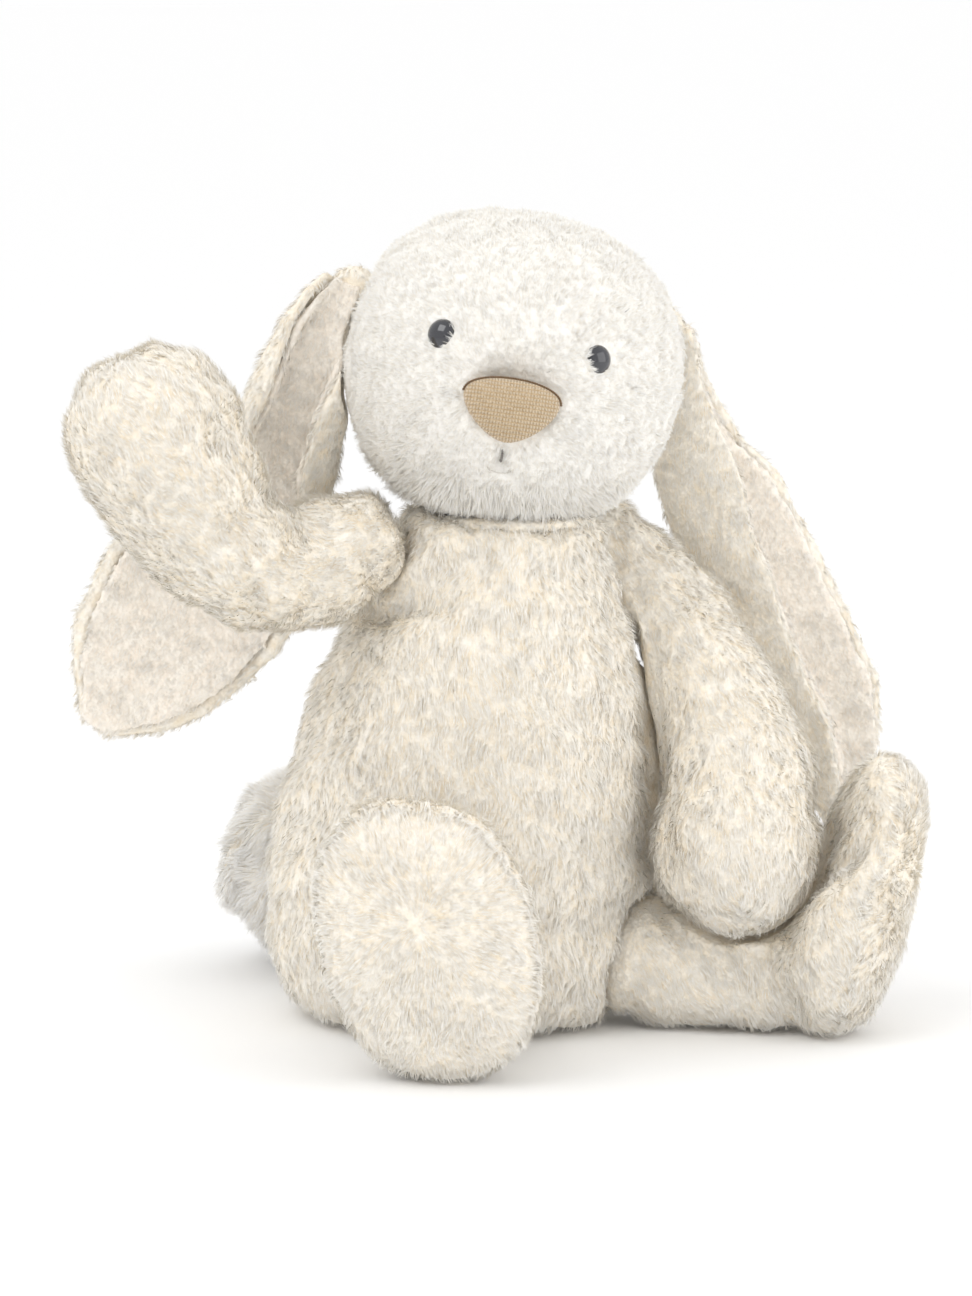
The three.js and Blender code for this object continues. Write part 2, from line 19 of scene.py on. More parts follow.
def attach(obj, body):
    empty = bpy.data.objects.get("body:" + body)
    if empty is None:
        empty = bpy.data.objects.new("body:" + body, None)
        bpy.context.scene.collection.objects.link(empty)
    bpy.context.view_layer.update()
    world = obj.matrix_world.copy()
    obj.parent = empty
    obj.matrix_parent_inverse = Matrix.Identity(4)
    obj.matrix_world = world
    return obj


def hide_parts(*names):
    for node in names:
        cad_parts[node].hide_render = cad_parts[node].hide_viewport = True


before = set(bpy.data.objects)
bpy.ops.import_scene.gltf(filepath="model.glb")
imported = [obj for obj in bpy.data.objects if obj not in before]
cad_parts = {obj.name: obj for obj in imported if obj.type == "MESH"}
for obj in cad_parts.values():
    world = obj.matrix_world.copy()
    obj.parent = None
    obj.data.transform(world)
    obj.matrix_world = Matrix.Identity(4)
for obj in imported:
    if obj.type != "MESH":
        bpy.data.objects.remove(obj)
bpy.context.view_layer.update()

MM = 0.001
scene = bpy.context.scene
scene.view_settings.view_transform = "Standard"

# ---- the camera: the bunny is seen from its right front, a little from above ----
AZIMUTH, ELEVATION = math.radians(-34), math.radians(12)
CAMERA_DISTANCE = 2.4
AIM_RIGHT, AIM_UP = 0.0075, 0.170  # the point in the middle of the picture, from the origin
SENSOR_WIDTH, LENS = 36, 142  # millimetres

back = Vector((
    math.sin(AZIMUTH) * math.cos(ELEVATION),
    -math.cos(AZIMUTH) * math.cos(ELEVATION),
    math.sin(ELEVATION),
))
right = Vector((math.cos(AZIMUTH), math.sin(AZIMUTH), 0))
up = back.cross(right)
camera = bpy.data.objects.new("camera", bpy.data.cameras.new("camera"))
camera.data.sensor_width = SENSOR_WIDTH
camera.data.lens = LENS
scene.collection.objects.link(camera)
camera.location = back * CAMERA_DISTANCE
camera.rotation_mode = "QUATERNION"
sight = back * CAMERA_DISTANCE - right * AIM_RIGHT - up * AIM_UP
camera.rotation_quaternion = sight.to_track_quat("Z", "Y")
scene.camera = camera


# ---- arrays and meshes ----
def unit(v):
    return v / np.maximum(np.linalg.norm(v, axis=-1, keepdims=True), 1e-12)


def smoothstep(x, low, high):
    t = np.clip((x - low) / (high - low), 0, 1)
    return t * t * (3 - 2 * t)


def waves(points, size, seed, count=7):
    """Smooth noise of about unit spread, with bumps about size across."""
    rng = np.random.default_rng(seed)
    ways = unit(rng.normal(size=(count, 3))) * (2 * math.pi / size) * rng.uniform(0.6, 1.5, (count, 1))
    return np.sin(points @ ways.T + rng.uniform(0, 2 * math.pi, count)).sum(1) / math.sqrt(count / 2)


def vector_waves(points, size, seed):
    return np.stack([waves(points, size, seed + i) for i in range(3)], axis=1)


def points_of(mesh):
    co = np.empty(len(mesh.vertices) * 3, np.float32)
    mesh.vertices.foreach_get("co", co)
    return co.reshape(-1, 3).astype(float)


def set_points(mesh, points):
    mesh.vertices.foreach_set("co", np.ascontiguousarray(points, np.float32).ravel())
    mesh.update()


def normals_of(mesh):
    no = np.empty(len(mesh.vertices) * 3, np.float32)
    mesh.vertex_normals.foreach_get("vector", no)
    return no.reshape(-1, 3).astype(float)


def triangles_of(mesh):
    mesh.calc_loop_triangles()
    t = np.empty(len(mesh.loop_triangles) * 3, np.int32)
    mesh.loop_triangles.foreach_get("vertices", t)
    return t.reshape(-1, 3)


def edges_of(mesh):
    e = np.empty(len(mesh.edges) * 2, np.int32)
    mesh.edges.foreach_get("vertices", e)
    return e.reshape(-1, 2)


def spread(mesh, values, times):
    """Values at the vertices, averaged with their neighbours some number of times."""
    e = edges_of(mesh)
    share = np.maximum(np.bincount(e.ravel(), minlength=len(values)).astype(float), 1)
    for _ in range(times):
        total = np.zeros_like(values)
        np.add.at(total, e[:, 0], values[e[:, 1]])
        np.add.at(total, e[:, 1], values[e[:, 0]])
        mean = total / (share if values.ndim == 1 else share[:, None])
        values = 0.5 * values + 0.5 * mean
    return values


def new_object(name, mesh, materials=()):
    obj = bpy.data.objects.new(name, mesh)
    for m in materials:
        mesh.materials.append(m)
    scene.collection.objects.link(obj)
    return obj


def smooth_object(name, vertices, faces, made_of):
    mesh = bpy.data.meshes.new(name)
    mesh.from_pydata([tuple(v) for v in vertices], [], faces)
    mesh.shade_smooth()
    return new_object(name, mesh, [made_of])


def bands(rings, around, start=0):
    """The faces between each ring of points and the next."""
    faces = []
    for i in range(rings):
        for k in range(around):
            a, b = start + i * around + k, start + i * around + (k + 1) % around
            faces.append((a, b, b + around, a + around))
    return faces


def node_solids(nodes):
    """One mesh of several CAD nodes' solids, at rest."""
    points, faces, start = [], [], 0
    for n in nodes:
        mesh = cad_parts[n].data
        points.append(points_of(mesh))
        faces += [tuple(start + i for i in p.vertices) for p in mesh.polygons]
        start += len(mesh.vertices)
    return np.concatenate(points), faces


def applied(obj, kind, **settings):
    """Applies one modifier to an object's mesh."""
    m = obj.modifiers.new(kind, kind)
    for key, value in settings.items():
        setattr(m, key, value)
    made = bpy.data.meshes.new_from_object(obj.evaluated_get(bpy.context.evaluated_depsgraph_get()))
    obj.modifiers.remove(m)
    old = obj.data
    obj.data = made
    bpy.data.meshes.remove(old)


# ---- materials ----
def material(name, colour, roughness, **inputs):
    m = bpy.data.materials.new(name)
    m.use_nodes = True
    shader = m.node_tree.nodes["Principled BSDF"]
    shader.inputs["Base Color"].default_value = (*colour, 1)
    shader.inputs["Roughness"].default_value = roughness
    for key, value in inputs.items():
        shader.inputs[key.replace("_", " ")].default_value = value
    return m


PILE_SHADES = (-0.02, 0.0, 0.02)  # how much darker or lighter each shade of clump is
# painted shade: each root colour is scaled darker and warmer than its tip, standing in for the shade deep in
# the pile
ROOT_PAINTED_SHADE = (1.0, 0.97, 0.915)


def pile(name, colour):
    """The pile's materials: for three shades of clump, one near the root and one at the tip; the root's colour
    is darker and warmer, painted shade for the depth of the pile.
    """
    made = []
    for i, light in enumerate(PILE_SHADES):
        root = tuple(min(1, max(0, c * (0.985 + light) * root_shade)) for c, root_shade in zip(colour, ROOT_PAINTED_SHADE))
        tip = tuple(min(1, max(0, c * (1.0 + light * 0.6))) for c in colour)
        made.append(material(f"{name}_{i}_root", root, 0.85, Sheen_Weight=0.15, Sheen_Roughness=0.5,
                             Specular_IOR_Level=0.25))
        made.append(material(f"{name}_{i}_tip", tip, 0.75, Sheen_Weight=0.25, Sheen_Roughness=0.4,
                             Specular_IOR_Level=0.3))
    return made


def node(tree, kind, **values):
    n = tree.nodes.new(kind)
    for key, value in values.items():
        if key in n.inputs:
            n.inputs[key].default_value = value
        else:
            setattr(n, key, value)
    return n


def backing(name, colour, pile_depth_shade):
    """Knitted backing under the pile: colour mottled by noise between its own tone and a darker tan, and a fine
    tufted relief. The mottle is the knit's own; the darker tan is painted shade for the depths of the pile.
    """
    m = material(name, colour, 0.95)
    tree = m.node_tree
    shader = tree.nodes["Principled BSDF"]
    where = node(tree, "ShaderNodeTexCoord")
    mottle = node(tree, "ShaderNodeTexNoise", Scale=140.0, Detail=3.0, Roughness=0.6)
    ramp = node(tree, "ShaderNodeValToRGB")
    ramp.color_ramp.elements[0].position = 0.3
    ramp.color_ramp.elements[0].color = (*pile_depth_shade, 1)
    ramp.color_ramp.elements[1].position = 0.65
    ramp.color_ramp.elements[1].color = (*colour, 1)
    tufts = node(tree, "ShaderNodeTexVoronoi", Scale=520.0)
    bump = node(tree, "ShaderNodeBump", Strength=0.6, Distance=0.0008)
    tree.links.new(where.outputs["Object"], mottle.inputs["Vector"])
    tree.links.new(where.outputs["Object"], tufts.inputs["Vector"])
    tree.links.new(mottle.outputs["Fac"], ramp.inputs["Fac"])
    tree.links.new(ramp.outputs["Color"], shader.inputs["Base Color"])
    tree.links.new(tufts.outputs["Distance"], bump.inputs["Height"])
    tree.links.new(bump.outputs["Normal"], shader.inputs["Normal"])
    return m


IVORY = (0.955, 0.93, 0.875)
COOL_WHITE = (0.92, 0.908, 0.875)
TAIL_WHITE = (0.975, 0.965, 0.94)
PINK_CREAM = (0.96, 0.93, 0.88)

# each backing's second colour is a darker tan, painted shade for the depths of the pile between the strands
BODY_BACKING = backing("body_backing", (0.96, 0.915, 0.83), (0.90, 0.80, 0.64))
HEAD_BACKING = backing("head_backing", (0.92, 0.90, 0.86), (0.89, 0.86, 0.80))
LINING_BACKING = backing("lining_backing", (0.96, 0.91, 0.83), (0.92, 0.83, 0.72))
BODY_PILE = pile("body_pile", IVORY)
HEAD_PILE = pile("head_pile", COOL_WHITE)
TAIL_PILE = pile("tail_pile", TAIL_WHITE)
LINING_PILE = pile("lining_pile", PINK_CREAM)

# ---- where things are, as the CAD has them ----
HEAD_CENTRE = Vector((0, -33, 304)) * MM
HEAD_SIZE = Vector((77, 71, 69.5)) * MM
HEAD_FULLNESS = 2.25
HEAD_TURN, HEAD_ROLL = math.radians(-32.8), math.radians(9.5)
HEAD_AXES = Matrix.Rotation(HEAD_TURN, 3, "Z") @ Matrix.Rotation(HEAD_ROLL, 3, "Y")
EYE_SIDE, EYE_UP, EYE_RADIUS, EYE_DOME = 34.5, 14, 7.0, 4.6  # millimetres, from the head's middle
NECK_CENTRE, NECK_RADIUS = (-33, 235.5), 34.5  # millimetres: y and z of the gathered ring
HIP = {"right": Vector((-48, -66, 31)) * MM, "left": Vector((48, -66, 31)) * MM}
LEG_WAY = {"right": Vector((-1, -1, 0)).normalized(), "left": Vector((1, -1, 0)).normalized()}
LEG_REACH = {"right": 75 * MM, "left": 100 * MM}
FOOT_HALF_LENGTH = 67 * MM
FOOT_HALF_THICKNESS = 26 * MM
FOOT_LEAN = 0.24

ARM_PATH = {
    "right": [(-75, -13, 224), (-102, -16, 213), (-128, -17, 221), (-149, -14, 240), (-165, -11, 266),
              (-175, -13, 283)],
    "left": [(62, -24, 220), (73, -50, 188), (80, -79, 150), (80, -101, 112), (71, -113, 87)],
}
EAR_PATH = {
    "right": [(-50, 26, 341), (-63, 29, 315), (-73, 38, 280), (-80, 56, 238), (-97, 78, 201), (-118, 95, 166),
              (-142, 105, 134)],
    "left": [(84, -39, 320), (85, -38, 303), (85, -28, 279), (89, -20, 250), (100, -18, 221), (117, -21, 187),
             (136, -24, 148), (161, -29, 108), (185, -32, 71)],
}


def in_head(points):
    """Row-frame points as the head has them: side, depth (the face is at minus) and height."""
    return (points - np.array(HEAD_CENTRE)) @ np.array(HEAD_AXES)


def from_head(vectors):
    return vectors @ np.array(HEAD_AXES).T


def on_face(side, height, inset=0.0):
    """The point on the head's front at that side and height, in metres, and the way out there."""
    a, b, c = (s - inset for s in HEAD_SIZE)
    level = 1 - abs(height / c) ** HEAD_FULLNESS
    depth = -b * math.sqrt(max(level ** (2 / HEAD_FULLNESS) - (side / a) ** 2, 0))
    out = Vector((side / a**2, depth / b**2, height / c**2)).normalized()
    return HEAD_CENTRE + HEAD_AXES @ Vector((side, depth, height)), HEAD_AXES @ out


# ---- which CAD nodes each body's covers are ----
COVERS = {
    "torso": [
        "torso_front_left_panel",
        "torso_front_right_panel",
        "torso_back_left_panel",
        "torso_back_right_panel",
        "torso_seat_panel",
    ],
    "head": ["head_right_panel", "head_left_panel", "head_gusset"],
    "tail": ["tail_left_panel", "tail_right_panel"],
}
for s in ("right", "left"):
    COVERS[f"arm_{s}"] = [f"arm_{s}_front_panel", f"arm_{s}_back_panel"]
    COVERS[f"leg_{s}"] = [f"leg_{s}_left_panel", f"leg_{s}_right_panel", f"foot_{s}_sole"]
    COVERS[f"ear_{s}"] = [f"ear_{s}_fur_panel", f"ear_{s}_lining"]

COVER_TREES = {body: BVHTree.FromPolygons(*node_solids(nodes)) for body, nodes in COVERS.items()}


LOOKED_ROUND = 30 * MM


def nearness(body, points, normals):
    """How far each point is from the other bodies' covers, and how open its surroundings are, from 0 to 1."""
    others = [t for b, t in COVER_TREES.items() if b != body]
    distance = np.full(len(points), LOOKED_ROUND)
    openness = np.zeros(len(points))
    for i, (p, n) in enumerate(zip(points, normals)):
        p, n = Vector(p), Vector(n)
        for t in others:
            found = t.find_nearest(p, LOOKED_ROUND)
            if found[0] is not None:
                distance[i] = min(distance[i], found[3])
        if distance[i] >= LOOKED_ROUND:
            openness[i] = 1
            continue
        side = n.orthogonal().normalized()
        other = n.cross(side)
        ways = [n] + [n * 0.6 + d * 0.8 for d in (side, -side, other, -other)]
        start = p + n * MM
        seen = [all(t.ray_cast(start, w, LOOKED_ROUND)[0] is None for t in others) for w in ways]
        openness[i] = sum(seen) / len(ways)
    return distance, openness


PUFF_PRESSURE, PUFF_LOOSENESS, PUFF_FRAMES = 4.0, 0.05, 20


def puff(obj, still, cap):
    """Inflates a closed mesh as cloth that is a little loose, and lets no point move further than cap."""
    group = obj.vertex_groups.new(name="still")
    for i, w in enumerate(still):
        group.add([i], float(w), "REPLACE")
    cloth = obj.modifiers.new("cloth", "CLOTH")
    s = cloth.settings
    s.quality = 5
    s.mass = 0.15
    s.tension_stiffness = s.compression_stiffness = 8
    s.bending_stiffness = 0.3
    s.use_pressure = True
    s.uniform_pressure_force = PUFF_PRESSURE
    s.effector_weights.gravity = 0
    s.vertex_group_mass = "still"
    s.shrink_min = -PUFF_LOOSENESS
    cloth.collision_settings.use_collision = False
    cloth.collision_settings.use_self_collision = False
    cloth.point_cache.frame_start = 1
    cloth.point_cache.frame_end = PUFF_FRAMES
    before = points_of(obj.data)
    for f in range(1, PUFF_FRAMES + 1):
        scene.frame_set(f)
    moved = obj.evaluated_get(bpy.context.evaluated_depsgraph_get())
    shift = points_of(moved.data) - before
    obj.modifiers.remove(cloth)
    obj.vertex_groups.clear()
    scene.frame_set(1)
    length = np.linalg.norm(shift, axis=1, keepdims=True)
    set_points(obj.data, before + shift * np.minimum(1, cap / np.maximum(length, 1e-9)))


def round_pad(centre, radius):
    """A ball's points and faces."""
    bm = bmesh.new()
    bmesh.ops.create_icosphere(bm, subdivisions=3, radius=radius)
    points = np.array([v.co + centre for v in bm.verts])
    faces = [tuple(v.index for v in f.verts) for f in bm.faces]
    bm.free()
    return points, faces


TOUCHING, CLEAR = 1.2 * MM, 8 * MM  # distances from another body's cover
LOWEST, LOWEST_PUFFED = 2.2 * MM, 2.0 * MM  # heights of a skin over the floor
PUFF_CAP = 3.5 * MM
PILE_BESIDE, PILE_IN_THE_OPEN = 0.55, 0.45  # shares of the pile's length: everywhere, and added clear of others


def skin(name, body, nodes, backing_material, inset=1.4 * MM, voxel=5 * MM, smooth=4, relief=None,
         floor=True, cloth=True, bare=None, finer=1, pad=None):
    """A part's cover under its pile.

    Returns the object, and at each vertex how dense and how long its pile is.
    """
    points, faces = node_solids(nodes)
    if pad is not None:
        more, more_faces = pad
        faces += [tuple(i + len(points) for i in f) for f in more_faces]
        points = np.concatenate([points, more])
    mesh = bpy.data.meshes.new(name)
    mesh.from_pydata(points.tolist(), [], faces)
    obj = new_object(name, mesh)
    applied(obj, "REMESH", mode="VOXEL", voxel_size=voxel)
    points = spread(obj.data, points_of(obj.data), smooth)
    set_points(obj.data, points)
    normals = normals_of(obj.data)
    distance, openness = nearness(body, points, normals)
    free = spread(obj.data, smoothstep(distance, TOUCHING, CLEAR), 1)
    open_here = np.clip(spread(obj.data, openness, 4) * 4, 0, 1)
    points = points - normals * (inset * free)[:, None]
    if floor:
        points[:, 2] = np.maximum(points[:, 2], LOWEST)
    set_points(obj.data, points)
    if cloth:
        puff(obj, np.clip(1 - free * 1.2, 0, 1), PUFF_CAP)
        points = points_of(obj.data)
        if floor:
            points[:, 2] = np.maximum(points[:, 2], LOWEST_PUFFED)
        set_points(obj.data, points)
    for key, here in (("free", free), ("open", open_here)):
        layer = obj.data.attributes.new(key, "FLOAT", "POINT")
        layer.data.foreach_set("value", here.astype(np.float32))
    if finer:
        applied(obj, "SUBSURF", levels=finer)
    mesh = obj.data
    points = points_of(mesh)
    if relief is not None:
        points = points + normals_of(mesh) * relief(points)[:, None]
    set_points(mesh, points)
    mesh.materials.clear()
    mesh.materials.append(backing_material)
    mesh.shade_smooth()
    values = {}
    for key in ("free", "open"):
        kept = np.empty(len(mesh.vertices), np.float32)
        mesh.attributes[key].data.foreach_get("value", kept)
        values[key] = kept.astype(float)
        mesh.attributes.remove(mesh.attributes[key])
    dense = values["open"]
    if bare is not None:
        dense = dense * (1 - bare(points))
    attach(obj, body)
    return obj, dense, PILE_BESIDE + PILE_IN_THE_OPEN * values["free"]


# ---- the pile ----
PER_CLUMP = 7
PILE_DENSITY = 1.0e6 * 1  # strands on a square metre
BENT_SHARE = 0.35  # the strands with a bend in them; the rest are straight
ROOT_DEPTH = 0.8 * MM  # how far a strand starts under the skin
LOWEST_STRAND = 0.4 * MM
SHADE_ODDS = (0.25, 0.5, 0.25)
WAVE_WAY, WAVE_TILT, WAVE_LENGTH = 22 * MM, 17 * MM, 13 * MM  # sizes of the coat's swirls
BEND = 0.7, 1.3  # a strand's tilt below and above its middle, as shares of its own
FLATTEST = 1.6  # radians from upright
BENT_FACES = np.array([[0, 2, 3, 0, 3, 1, 2, 4, 3]])
STRAIGHT_FACE = np.array([[0, 2, 1]])


def grow(name, body, skin_parts, comb, length, materials, seed, density=1.35, lean=63, width=0.35 * MM,
         gather=0.38, clump=1.4 * MM, unruly=0.16, keep=None):
    """Pile on a skin: clumps of tapered strands that lean the way comb says."""
    obj, dense, long = skin_parts
    rng = np.random.default_rng(seed)
    mesh = obj.data
    P, N, T = points_of(mesh), normals_of(mesh), triangles_of(mesh)
    a, b, c = P[T[:, 0]], P[T[:, 1]], P[T[:, 2]]
    area = np.linalg.norm(np.cross(b - a, c - a), axis=1) / 2
    weight = area * dense[T].mean(axis=1)
    if keep is not None:
        weight = weight * keep((a + b + c) / 3)
    count = int(weight.sum() * PILE_DENSITY * density / PER_CLUMP)
    total = np.cumsum(weight)
    spots = (np.arange(count) + rng.random(count)) / count * total[-1]
    t = np.searchsorted(total, spots).clip(0, len(T) - 1)
    u, v = rng.random(count), rng.random(count)
    over = u + v > 1
    u[over], v[over] = 1 - u[over], 1 - v[over]
    w = np.stack([1 - u - v, u, v], axis=1)
    centre = (P[T[t]] * w[:, :, None]).sum(axis=1)
    normal = unit((N[T[t]] * w[:, :, None]).sum(axis=1))
    local = (long[T[t]] * w).sum(axis=1)

    way = unit(comb(centre, normal)) + unruly * vector_waves(centre, WAVE_WAY, seed)
    way = way + rng.normal(0, 0.16, (count, 3))
    way = unit(way - normal * (way * normal).sum(axis=1, keepdims=True))
    side = np.cross(normal, way)
    tilt = lean + 6 * waves(centre, WAVE_TILT, seed + 7) + rng.normal(0, 4, count)
    tilt = np.radians(tilt).clip(0.1, 1.45)
    growth = 1 + 0.10 * waves(centre, WAVE_LENGTH, seed + 9) + rng.normal(0, 0.09, count)
    tall = length * local * growth.clip(0.5, 1.5)

    def each(x):
        return np.repeat(x, PER_CLUMP, axis=0)

    n = count * PER_CLUMP
    angle, reach = rng.uniform(0, 2 * math.pi, n), clump * np.sqrt(rng.random(n))
    N1, W1, S1 = each(normal), each(way), each(side)
    root = each(centre) + W1 * (reach * np.cos(angle))[:, None] + S1 * (reach * np.sin(angle))[:, None]
    root = root - N1 * ROOT_DEPTH
    tall1 = each(tall) * rng.uniform(0.75, 1.1, n)

    def lie(tilted):
        return N1 * np.cos(tilted)[:, None] + W1 * np.sin(tilted)[:, None]

    tilt1 = each(tilt) + rng.normal(0, 0.12, n)
    sway = S1 * rng.normal(0, 0.16, n)[:, None]
    first = unit(lie(tilt1 * BEND[0]) + sway)
    second = unit(lie(np.minimum(tilt1 * BEND[1], FLATTEST)) + sway)
    mid = root + first * (tall1 * 0.5)[:, None]
    tip = mid + second * (tall1 * 0.5)[:, None]
    heart = each(centre) - N1 * ROOT_DEPTH
    heart_mid = heart + unit(lie(each(tilt) * BEND[0])) * (each(tall) * 0.5)[:, None]
    heart_second = unit(lie(np.minimum(each(tilt) * BEND[1], FLATTEST)))
    heart_tip = heart_mid + heart_second * (each(tall) * 0.5)[:, None]
    pull = (gather + rng.normal(0, 0.15, n)).clip(0, 0.95)[:, None]
    mid = mid + (heart_mid - mid) * pull * 0.4
    tip = tip + (heart_tip - tip) * pull
    wide = width * rng.uniform(0.75, 1.2, n)
    face = np.cross(first, S1)
    turn = rng.normal(0, 0.5, n)[:, None]
    across = unit(S1 * np.cos(turn) + face * np.sin(turn)) * (wide / 2)[:, None]
    for part in (mid, tip):
        part[:, 2] = np.maximum(part[:, 2], LOWEST_STRAND)
    normals = unit(N1 * 0.85 + unit(face) * 0.2 + rng.normal(0, 0.06, (n, 3)))
    shade = each(rng.choice(len(PILE_SHADES), count, p=SHADE_ODDS))
    bends = rng.random(n) < BENT_SHARE
    straight = ~bends
    foot, waist = (root - across, root + across), (mid - across * 0.85, mid + across * 0.85)
    curved = np.stack([*foot, *waist, tip], axis=1)[bends]
    spikes = np.stack([*foot, tip], axis=1)[straight]
    many = len(curved)
    triangles = np.concatenate([
        ((np.arange(many) * 5)[:, None] + BENT_FACES).reshape(-1, 3),
        many * 5 + (np.arange(len(spikes)) * 3)[:, None] + STRAIGHT_FACE,
    ])
    # the lower part of each bent strand takes the root material, which is painted shade; a straight strand
    # takes the root or the tip material at random
    slots = np.concatenate([
        np.stack([shade[bends] * 2, shade[bends] * 2, shade[bends] * 2 + 1], axis=1).ravel(),
        shade[straight] * 2 + (rng.random(len(spikes)) < 0.6),
    ])
    vertices = np.concatenate([curved.reshape(-1, 3), spikes.reshape(-1, 3)])
    normals = np.concatenate([
        np.repeat(normals[bends], 5, axis=0),
        np.repeat(normals[straight], 3, axis=0),
    ])
    made = bpy.data.meshes.new(name)
    made.vertices.add(len(vertices))
    made.vertices.foreach_set("co", vertices.astype(np.float32).ravel())
    made.loops.add(len(triangles) * 3)
    made.loops.foreach_set("vertex_index", triangles.astype(np.int32).ravel())
    made.polygons.add(len(triangles))
    made.polygons.foreach_set("loop_start", np.arange(0, len(triangles) * 3, 3, dtype=np.int32))
    made.polygons.foreach_set("material_index", slots.astype(np.int32))
    made.update(calc_edges=True)
    made.shade_smooth()
    made.normals_split_custom_set_from_vertices(normals)
    fur = new_object(name, made, materials)
    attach(fur, body)


def toward(vector):
    v = np.array(vector, float)
    return lambda points, normals: np.broadcast_to(v, points.shape)


def along_path(path):
    """Combed along a path, from its first point to its last."""
    p = np.array(path, float) * MM
    ways = unit(np.gradient(p, axis=0))

    def comb(points, normals):
        away = np.linalg.norm(points[:, None, :] - p[None, :, :], axis=2)
        share = 1 / (away**2 + 1e-6)
        return unit((share[:, :, None] * ways[None]).sum(axis=1))

    return comb


# ---- head ----
NOSE_AT, _ = on_face(0, -8.5 * MM)
NOSE_LOCAL = np.array(HEAD_AXES.transposed() @ (NOSE_AT - HEAD_CENTRE))
EYES = {"right": -EYE_SIDE, "left": EYE_SIDE}
EYE_BARE_MIDDLE, EYE_BARE_RADIUS = (36.5, 15.5), 5.2  # millimetres: no pile over this part of an eye


def bump_at(q, place, size):
    return np.exp(-(((q - np.array(place) * MM) / (np.array(size) * MM)) ** 2).sum(axis=1))


def mouth_line(q):
    """1 along the parting under the nose, an upside-down V, and 0 away from it."""
    side, height = np.abs(q[:, 0]) / MM, q[:, 2] / MM
    apart = (height + 38 + 0.85 * side) * 0.76
    return np.exp(-((apart / 1.9) ** 2)) * np.exp(-((side / 12) ** 4)) * (q[:, 1] < 0)


def head_relief(points):
    """Muzzle, cheeks and the dimples of the eyes, as distances out of the skin."""
    q = in_head(points)
    front = smoothstep(-q[:, 1], 10 * MM, 45 * MM)
    out = 2.2 * bump_at(q, (-14, -62, -31), (13, 30, 12)) + 2.2 * bump_at(q, (14, -62, -31), (13, 30, 12))
    out -= 2.6 * bump_at(q, (0, -62, -33), (2.6, 30, 9))
    out -= 2.6 * mouth_line(q) * front
    for side in (-1, 1):
        out += 3.4 * bump_at(q, (side * 28, -62, 9), (5.5, 30, 6.5))
        out -= 2.8 * bump_at(q, (side * 34, -58, 14), (12, 26, 11))
    seam = np.exp(-(((np.abs(q[:, 0]) / MM - 25) / 2.2) ** 2))
    out -= 0.5 * seam * (q[:, 2] > 0)
    out += 0.35 * waves(points, 30 * MM, 5)
    return out * MM


def head_bare(points):
    """No pile under the nose, or over the outer upper part of each eye."""
    q = in_head(points)
    side, height = q[:, 0] / MM, (q[:, 2] - NOSE_LOCAL[2]) / MM
    nose = (height < 7.5) & (height > -18) & (np.abs(side) < 8 + 12 * (height + 18) / 25.5)
    across, level = np.abs(q[:, 0]) / MM - EYE_BARE_MIDDLE[0], q[:, 2] / MM - EYE_BARE_MIDDLE[1]
    eyes = np.hypot(across, level) < EYE_BARE_RADIUS
    return ((nose | eyes) & (q[:, 1] < 0)).astype(float)


def head_comb(points, normals):
    """Away from the nose over the face, and down and back behind it."""
    q = in_head(points)
    away = unit(q - NOSE_LOCAL)
    behind = smoothstep(q[:, 1], -20 * MM, 40 * MM)[:, None]
    local = away * (1 - 0.7 * behind) + np.array([0, 0.2, -0.9]) * behind + np.array([0, 0.1, -0.12])
    return from_head(local)


HEAD_NODES = COVERS["head"] + ["head_stuffing", "eye_right", "eye_left", "mouth_stitch", "chin_stitch"]
head_cover, head_dense, head_long = skin(
    "head_cover", "head", HEAD_NODES, HEAD_BACKING, inset=1.6 * MM, smooth=5, relief=head_relief,
    floor=False, bare=head_bare)
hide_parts(*COVERS["head"], "head_stuffing", "eye_right_washer", "eye_left_washer")
in_place = in_head(points_of(head_cover.data))
low = smoothstep(-in_place[:, 2], 34 * MM, 60 * MM)
shorter = 1 - 0.65 * mouth_line(in_place)
combed = head_cover, head_dense * shorter, head_long * (1 + 1.1 * low) * shorter  # longest over the neck
grow("head_pile", "head", combed, head_comb, 5.4 * MM, HEAD_PILE, 11, density=1.5, width=0.36 * MM,
     clump=1.4 * MM, gather=0.35, unruly=0.16)


PLIES, PLY_TWIST, PLY_SIDES = 2, 2.2 * MM, 8
THREAD_STEP = 0.35 * MM


def swept(name, points, radius, made_of):
    """A thread through the points: two plies twisted round each other, as one mesh."""
    path = np.array(points, float)
    lengths = np.concatenate([[0], np.cumsum(np.linalg.norm(np.diff(path, axis=0), axis=1))])
    steps = max(12, int(lengths[-1] / THREAD_STEP))
    at = np.linspace(0, lengths[-1], steps)
    line = np.stack([np.interp(at, lengths, path[:, k]) for k in range(3)], axis=1)
    padded = [np.pad(line[:, k], 3, "edge") for k in range(3)]
    line = np.stack([np.convolve(p, np.ones(7) / 7, "valid") for p in padded], axis=1)
    along = unit(np.gradient(line, axis=0))
    first = unit(np.cross(along, np.array([0.31, 0.24, 0.92])))
    second = np.cross(along, first)
    vertices, faces = [], []
    for ply in range(PLIES):
        phase = at / PLY_TWIST * 2 * math.pi + 2 * math.pi * ply / PLIES
        middle = line + radius * 0.5 * (first * np.cos(phase)[:, None] + second * np.sin(phase)[:, None])
        thick = radius * 0.62
        start, end = len(vertices), len(vertices) + (steps - 1) * PLY_SIDES
        for c, a, b in zip(middle, first, second):
            for k in range(PLY_SIDES):
                w = 2 * math.pi * k / PLY_SIDES
                vertices.append(c + thick * (a * math.cos(w) + b * math.sin(w)))
        faces += bands(steps - 1, PLY_SIDES, start)
        faces.append(tuple(start + k for k in reversed(range(PLY_SIDES))))
        faces.append(tuple(end + k for k in range(PLY_SIDES)))
    return smooth_object(name, vertices, faces, made_of)


